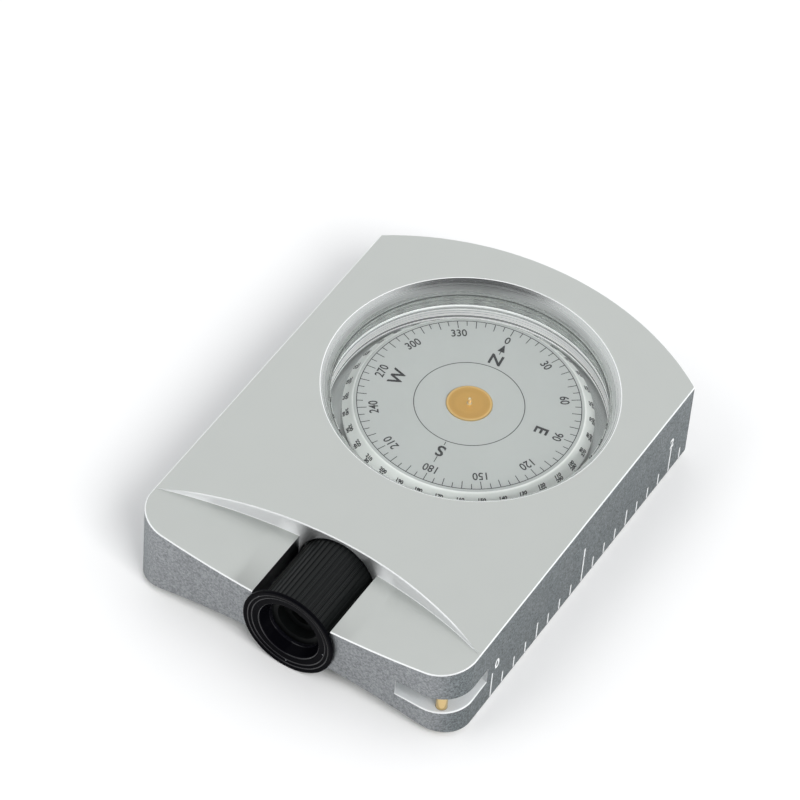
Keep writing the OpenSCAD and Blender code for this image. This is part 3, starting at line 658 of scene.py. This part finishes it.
def chamfer_share(e):
    """How much of the full chamfer an edge of the body gets: all on the outside, none inside."""
    c = (e.verts[0].co + e.verts[1].co) / 2
    flat = len(e.link_faces) != 2 or e.calc_face_angle(0) < math.radians(SHARP_ANGLE)
    if flat or is_plain_edge(c):
        return 0.0
    if abs(c.xy.length - WELL_RIM_RADIUS) < NEAR:
        return RIM_CHAMFER
    if in_lanyard_corner(c, LANYARD_EDGES_Z):
        outer_lip = (c.xy - LANYARD_CUT).length < LANYARD_CUT_RADIUS - NEAR
        return 1.0 if outer_lip and c.z < LANYARD_FLOOR_Z else 0.0
    if max(off_step(v) for v in e.verts) < NEAR:
        step_height = SCOOP_DEPTH * (1 - (c.x / half_width) ** 2)
        full = STEP_TOP_CHAMFER if min(c.z, top_z - c.z) < NEAR else STEP_FLOOR_CHAMFER
        return full * min(1.0, max(0.0, (step_height - FADE_FROM) / FADE_OVER))
    return 1.0


def chamfered(bm, width, material):
    """The mesh with a one-face chamfer on its weighted edges, as a new bmesh."""
    mesh = bpy.data.meshes.new("shell")
    bm.to_mesh(mesh)
    bm.free()
    for _ in range(material + 1):
        mesh.materials.append(None)
    obj = bpy.data.objects.new("shell", mesh)
    bevel = obj.modifiers.new("chamfer", "BEVEL")
    bevel.limit_method = "WEIGHT"
    bevel.offset_type = "OFFSET"
    bevel.width = width
    bevel.segments = 1
    bevel.use_clamp_overlap = False
    bevel.material = material
    bm = finished_bmesh(obj)
    bpy.data.meshes.remove(mesh)
    return bm


def body_shell():
    """The CAD body with a finish on each face, chamfered edges and a side just under the paint."""
    bm = bmesh.new()
    bm.from_mesh(nodes["body"].data)
    bmesh.ops.remove_doubles(bm, verts=bm.verts, dist=MERGE)
    bmesh.ops.dissolve_limit(
        bm, angle_limit=math.radians(FLAT_ANGLE), verts=bm.verts, edges=bm.edges)
    bm.normal_update()
    for face in bm.faces:
        face.material_index = surface_of(face)
    weights = bm.edges.layers.float.new("bevel_weight_edge")
    for e in bm.edges:
        e[weights] = chamfer_share(e)
    bm = chamfered(bm, EDGE_WIDTH, EDGE)
    for v in bm.verts:
        if v.co.x > half_width - SIDE_SINK / 2:
            v.co.x -= SIDE_SINK
    obj = new_piece("body_shell", bm, "case", "body_aluminium", *BODY_FINISHES, smooth_angle=20.0)
    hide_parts("body")


CAPSULE_STEPS = 240
CAPSULE_UPPER, CAPSULE_LOWER = 1, 2  # numbers of the side's finishes; the other faces are clear


def capsule_solid():
    """The capsule's cup, lid and liquid as one clear solid, with the wall's finish on its side and
    a painted glow on its lower band.
    """
    shoulder_z = lid_z - 0.6 * MM
    face_radius = 20.3 * MM
    rim = 0.12 * MM
    band_z = 7.2 * MM
    bm = bmesh.new()
    lathe(bm, [(0, cup_foot_z), (capsule_radius - rim, cup_foot_z),
               (capsule_radius, cup_foot_z + rim), (capsule_radius, band_z),
               (capsule_radius, shoulder_z - rim), (capsule_radius - rim, shoulder_z),
               (face_radius, shoulder_z), (face_radius, lid_z - rim),
               (face_radius - rim, lid_z), (0, lid_z)], CAPSULE_STEPS)
    for face in bm.faces:
        c = face.calc_center_median()
        if math.hypot(c.x, c.y) > face_radius - 0.01 * MM:
            face.material_index = CAPSULE_UPPER if c.z > band_z else CAPSULE_LOWER
    obj = new_piece("capsule_clear", bm, "case", "clear_plastic", clear, upper_wall, lower_wall,
                    smooth_angle=25.0)
    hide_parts("capsule_cup", "capsule_lid")


# Printing on the card. Azimuths are in degrees, radii and lengths along the dial in metres.
INK = 0.012 * MM
LINE = 0.12 * MM
PRINT_Z = card_z + INK / 2
TICK_RING = 16.39 * MM
INNER_RING = 8.1 * MM
TEN_TICK, FIVE_TICK = 1.4 * MM, 0.93 * MM
NUMBER_RADIUS, NUMBER_HEIGHT = 14.0 * MM, 1.4 * MM
LETTER_HEIGHT = 2.05 * MM
LETTERS = (
    ("N", 0, 9.7 * MM), ("E", 90, 11.4 * MM), ("S", 180, 10.3 * MM), ("W", 270, 11.5 * MM))
NORTH_SHAFT = 0, 10.9 * MM, 11.8 * MM
SOUTH_DASHES = (180, 8.3 * MM, 9.0 * MM), (180, 11.4 * MM, 12.6 * MM)
NORTH_HEAD = (-0.55, 11.5), (0.55, 11.5), (0, 13.0)  # in millimetres

SIDE_ROW_UP, OPPOSITE_ROW_UP = 1.42 * MM, 0.5 * MM
SIDE_NUMBER_HEIGHT = 0.78 * MM
SIDE_TICK_HALF = 0.04 * MM
SIDE_TICK_FOOT = 4.65  # in millimetres, as are the lengths of the ticks
TEN_SIDE_TICK, FIVE_SIDE_TICK, SIDE_TICK = 1.2, 0.9, 0.6


def around(azimuth):
    """Frame angle in radians of a dial azimuth, which counts clockwise from the card's north."""
    return math.radians(90 + CARD_TURN - azimuth)


def dial_place(azimuth, radius, z):
    """Matrix that puts a flat print at an azimuth and radius of the dial, its top outward."""
    a = around(azimuth)
    upright = Matrix.Rotation(a - math.pi / 2, 4, "Z")
    return Matrix.Translation(circle_point(radius, a, z)) @ upright


def add_dash(bm, low, high, place):
    """Adds a printed line across the dial's rings, between two distances from the place."""
    add_box(bm, (-LINE / 2, low, -INK / 2), (LINE / 2, high, INK / 2), place)


def add_arrow_head(bm):
    """Adds the arrow's head that points to north."""
    place = dial_place(0, 0, PRINT_Z)
    low, high = ([bm.verts.new(place @ Vector((x * MM, y * MM, z))) for x, y in NORTH_HEAD]
                 for z in (-INK / 2, INK / 2))
    bm.faces.new(low[::-1])
    bm.faces.new(high)
    for i in range(3):
        k = (i + 1) % 3
        bm.faces.new((low[i], low[k], high[k], high[i]))


def face_printing():
    """The rings, ticks, numbers, letters and arrow on the card's face."""
    bm = bmesh.new()
    for r in (TICK_RING, INNER_RING):
        inner, outer = r - LINE / 2, r + LINE / 2
        low, high = PRINT_Z - INK / 2, PRINT_Z + INK / 2
        lathe(bm, [(inner, low), (outer, low), (outer, high), (inner, high), (inner, low)], 180)
    for azimuth in range(0, 360, 5):
        length = TEN_TICK if azimuth % 10 == 0 else FIVE_TICK
        add_dash(bm, -length, 0, dial_place(azimuth, TICK_RING, PRINT_Z))
    for azimuth in range(0, 360, 30):
        add_bmesh(bm, text_bmesh(str(azimuth), NUMBER_HEIGHT, 0.85, INK, bold=0.015),
                  dial_place(azimuth, NUMBER_RADIUS, PRINT_Z))
    for letter, azimuth, radius in LETTERS:
        add_bmesh(bm, text_bmesh(letter, LETTER_HEIGHT, 1.0, INK),
                  dial_place(azimuth, radius, PRINT_Z))
    for azimuth, low, high in (*SOUTH_DASHES, NORTH_SHAFT):
        add_dash(bm, low, high, dial_place(azimuth, 0, PRINT_Z))
    add_arrow_head(bm)
    new_piece("card_printing", bm, "compass_card", "black_plastic", ink)


def side_wrap(azimuth, up):
    """A function that lays a print on the leaning part of the card's side, its middle that far up
    from the part's lower edge."""
    lean = math.radians(CARD_LEAN)
    foot_z = card_z - CARD_SLOPE_HEIGHT

    def move(p):
        """Where a point of the flat print goes."""
        climb = up + p.y
        r = card_radius - climb * math.sin(lean) + p.z * math.cos(lean)
        z = foot_z + climb * math.cos(lean) + p.z * math.sin(lean)
        return Vector(circle_point(r, around(azimuth) + p.x / card_radius, z))

    return move


def side_printing():
    """Two rows of numbers on the leaning part of the card's side, and the ticks below them."""
    bm = bmesh.new()
    for azimuth in range(0, 360, 10):
        opposite = (azimuth + 180) % 360
        for number, up in ((azimuth, SIDE_ROW_UP), (opposite, OPPOSITE_ROW_UP)):
            add_bmesh(bm, text_bmesh(str(number), SIDE_NUMBER_HEIGHT, 0.8, INK, bold=0.05),
                      move=side_wrap(azimuth, up))
    inner, outer = card_radius - INK, card_radius + INK / 2
    for azimuth in range(0, 360):
        length = SIDE_TICK
        if azimuth % 5 == 0:
            length = TEN_SIDE_TICK if azimuth % 10 == 0 else FIVE_SIDE_TICK
        add_box(bm, (inner, -SIDE_TICK_HALF, SIDE_TICK_FOOT * MM),
                (outer, SIDE_TICK_HALF, (SIDE_TICK_FOOT + length) * MM),
                Matrix.Rotation(around(azimuth), 4, "Z"))
    new_piece("card_side_printing", bm, "compass_card", "black_plastic", ink)


def guard_pin():
    """The small guard pin in the middle of the disc: a foot, a shaft and a domed tip."""
    r, foot, tip = guard_high.x, hub_high.z - 0.05 * MM, guard_high.z
    collar = r * 1.5
    turns = [math.radians(t) for t in range(0, 90, 15)]
    dome = [(r * math.cos(t), tip - r + r * math.sin(t)) for t in turns]
    bm = bmesh.new()
    lathe(bm, [(0, foot), (collar, foot), (collar, foot + 0.12 * MM), (r, foot + 0.22 * MM), *dome,
               (0, tip)], 32)
    obj = new_piece("guard_pin_turned", bm, "compass_card", "brass", pale_brass, smooth_angle=50.0)
    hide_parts("guard_pin")


# The eyecup, in millimetres: a flange with a rounded rim, then rounded steps that lead from its
# face into the bowl, each point a radius and how deep it lies under the face. The edges that catch
# the light lie between the radii of BRIGHT_RINGS.
FLANGE_RADIUS, FLANGE_THICK, FLANGE_ROUND = 7.4, 0.5, 0.15
NECK_RADIUS, BOWL_RADIUS, CUP_DEPTH = 5.22, 4.1, 1.9
CUP_STEPS = (
    (6.8, 0.0), (6.72, 0.04), (6.66, 0.11), (6.58, 0.12), (6.2, 0.12), (6.12, 0.16), (6.06, 0.23),
    (5.98, 0.24), (5.2, 0.24), (5.05, 0.27), (4.92, 0.38), (4.84, 0.6), (4.24, 1.9), (4.1, 2.1))
BRIGHT_RINGS = (6.6 * MM, 6.75 * MM), (6.0 * MM, 6.12 * MM), (4.9 * MM, 5.1 * MM), (0, 4.2 * MM)
BRIGHT_BEFORE = 1.8 * MM
# Lays the lathe's axis along the ring's.
Z_TO_BACK = Matrix(((1, 0, 0, 0), (0, 0, 1, 0), (0, -1, 0, axis_z), (0, 0, 0, 1)))


def eyecup():
    """The eyecup as it is turned: rounded steps on the flange's face round a deep bowl."""
    back = ring_low.y
    front = back - FLANGE_THICK * MM
    turns = [math.radians(t) for t in range(0, 91, 15)]
    rim = [(FLANGE_RADIUS - FLANGE_ROUND + FLANGE_ROUND * math.sin(t),
            -FLANGE_ROUND + FLANGE_ROUND * math.cos(t)) for t in turns]
    profile = [(BOWL_RADIUS * MM, back + CUP_DEPTH * MM), (NECK_RADIUS * MM, back + CUP_DEPTH * MM),
               (NECK_RADIUS * MM, back)]
    profile += [(r * MM, back + y * MM) for r, y in rim]
    profile += [(r * MM, front - y * MM) for r, y in reversed(rim)]
    profile += [(r * MM, front + drop * MM) for r, drop in CUP_STEPS]
    profile.append(profile[0])
    bm = bmesh.new()
    lathe(bm, profile, 128)
    for face in bm.faces:
        c = face.calc_center_median()
        r = math.hypot(c.x, c.y)
        if c.z < back + BRIGHT_BEFORE and any(between(r, ring) for ring in BRIGHT_RINGS):
            face.material_index = 1
    bmesh.ops.remove_doubles(bm, verts=bm.verts, dist=MERGE)
    for v in bm.verts:
        v.co = Z_TO_BACK @ v.co
    bmesh.ops.recalc_face_normals(bm, faces=bm.faces)
    obj = new_piece("eyecup_turned", bm, "eyepiece", "gloss_black", gloss_black, worn_black,
                    smooth_angle=40.0)
    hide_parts("eyecup")


# The ruler on the right side, in eighths of an inch.
RULER_MARKS = 18
INCH_MARK, HALF_MARK, SHORT_MARK = 5.4 * MM, 3.7 * MM, 2.6 * MM
MARK_HALF, MARK_FOOT = 0.14 * MM, 0.35 * MM
PAINT_THICK = 0.1 * MM
RULER_NUMBER_HEIGHT, RULER_NUMBER_Z = 1.9 * MM, 6.5 * MM
ZERO_SHIFT = 1.1 * MM  # keeps the first number off the rounded corner
# Stands a flat print up against the right side.
RULER_FACE = Matrix(((0, 0, 1, 0), (1, 0, 0, 0), (0, 1, 0, 0), (0, 0, 0, 1)))


def ruler_marks():
    """The painted marks, with the paint's slightly spread edges."""
    bm = bmesh.new()
    for k in range(RULER_MARKS):
        y = RULER_ZERO_Y + k * RULER_INCH / 8
        top = INCH_MARK if k % 8 == 0 else HALF_MARK if k % 4 == 0 else SHORT_MARK
        add_box(bm, (half_width - PAINT_THICK, y - MARK_HALF, MARK_FOOT),
                (half_width, y + MARK_HALF, top))
    obj = new_piece("ruler_marks_painted", bm, "case", "white_paint", ruler_white)
    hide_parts("ruler_paint")


def ruler_numbers():
    """The inch numbers over the ruler's long marks, in the paint of the marks."""
    bm = bmesh.new()
    for inch in range(3):
        y = RULER_ZERO_Y + inch * RULER_INCH + (ZERO_SHIFT if inch == 0 else 0)
        place = Matrix.Translation((half_width - PAINT_THICK / 2, y, RULER_NUMBER_Z)) @ RULER_FACE
        add_bmesh(bm, text_bmesh(str(inch), RULER_NUMBER_HEIGHT, 0.9, PAINT_THICK), place)
    new_piece("ruler_numbers", bm, "case", "white_paint", ruler_white)


add_camera()
body_shell()
capsule_solid()
face_printing()
side_printing()
guard_pin()
eyecup()
ruler_marks()
ruler_numbers()

# The CAD nodes that are seen as they are.
DRESSED = {
    "back_cover": cover_finish, "cover_screws": steel, "capsule_pad": rubber,
    "fill_plug": card_white, "pivot_post": steel, "sight_hairline": ink,
    "lanyard_pin": brass_pin, "guide_tube": black, "friction_ring": rubber,
    "retaining_clip": steel, "card": card_white, "magnet_bars": magnet, "card_hub": brass_disc,
    "hub_jewel": jewel, "focus_ring": black, "lens_cell": black, "lens": lens_glass,
    "lens_retainer": black, "drive_pin": steel,
}
for node_name, finish in DRESSED.items():
    dress(nodes[node_name], finish)


# The floor and the light: sizes in metres, colours of the room, and directions in it.
FLOOR_SIZE = 6.0
FLOOR_GAP = 0.05 * MM
ROOM, ROOM_SHADE = (0.90, 0.91, 0.92, 1), (0.08, 0.08, 0.085, 1)
TO_PERSON = 0.346, -0.575, 0.741
TO_FRONT = 0.515, -0.857, 0.0
LOW_BAND_SHADE = 0.5
SOFTBOX_SIZE = 0.7


def add_floor():
    """A pale floor just under the part."""
    bm = bmesh.new()
    bmesh.ops.create_grid(bm, x_segments=1, y_segments=1, size=FLOOR_SIZE)
    lowest = min(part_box(n)[0].z for n in nodes)
    for v in bm.verts:
        v.co.z = lowest - FLOOR_GAP
    paper = grained("pale_floor", (0.96, 0.96, 0.96), (0.94, 0.94, 0.94), 40.0, 0.5,
                    rough=(0.8, 0.9))
    new_piece("floor", bm, None, None, paper)


def add_room():
    """An even pale room, dark round the photographer and dimmer low down in front."""
    world = bpy.data.worlds.new("room")
    bpy.context.scene.world = world
    world.use_nodes = True
    tree = world.node_tree
    sky = tree.nodes["Background"]
    towards = tree.nodes.new("ShaderNodeTexCoord").outputs["Generated"]

    def along(direction):
        """How far a point of the room lies in a direction."""
        dot = tree.nodes.new("ShaderNodeVectorMath")
        dot.operation = "DOT_PRODUCT"
        dot.inputs[1].default_value = direction
        wire(tree, towards, dot.inputs[0])
        return dot.outputs["Value"]

    person = ramp_node(tree, along(TO_PERSON), 0.765, 0.80)
    low = ramp_node(tree, axes_of(tree, towards)[2], 0.28, 0.42, LOW_BAND_SHADE, 0.0)
    in_front = ramp_node(tree, along(TO_FRONT), -0.1, 0.3)
    shade = math_node(tree, "MAXIMUM", person, math_node(tree, "MULTIPLY", low, in_front))
    wire(tree, mix_node(tree, shade, ROOM, ROOM_SHADE), sky.inputs["Color"])
    sky.inputs["Strength"].default_value = 1.0


def add_softbox(name, place, power):
    """A square light that looks at the part's middle and isn't seen in its reflections."""
    data = bpy.data.lights.new(name, "AREA")
    data.shape = "SQUARE"
    data.size, data.energy = SOFTBOX_SIZE, power
    obj = bpy.data.objects.new(name, data)
    bpy.context.scene.collection.objects.link(obj)
    obj.location = place
    obj.visible_glossy = False
    obj.rotation_mode = "QUATERNION"
    obj.rotation_quaternion = (-Vector(place)).to_track_quat("-Z", "Y")


add_floor()
add_room()
add_softbox("softbox_right", (0.88, -0.55, 1.05), 14.0)
add_softbox("softbox_left", (-0.60, -0.75, 1.0), 2.0)
bpy.context.scene.view_settings.view_transform = "Standard"
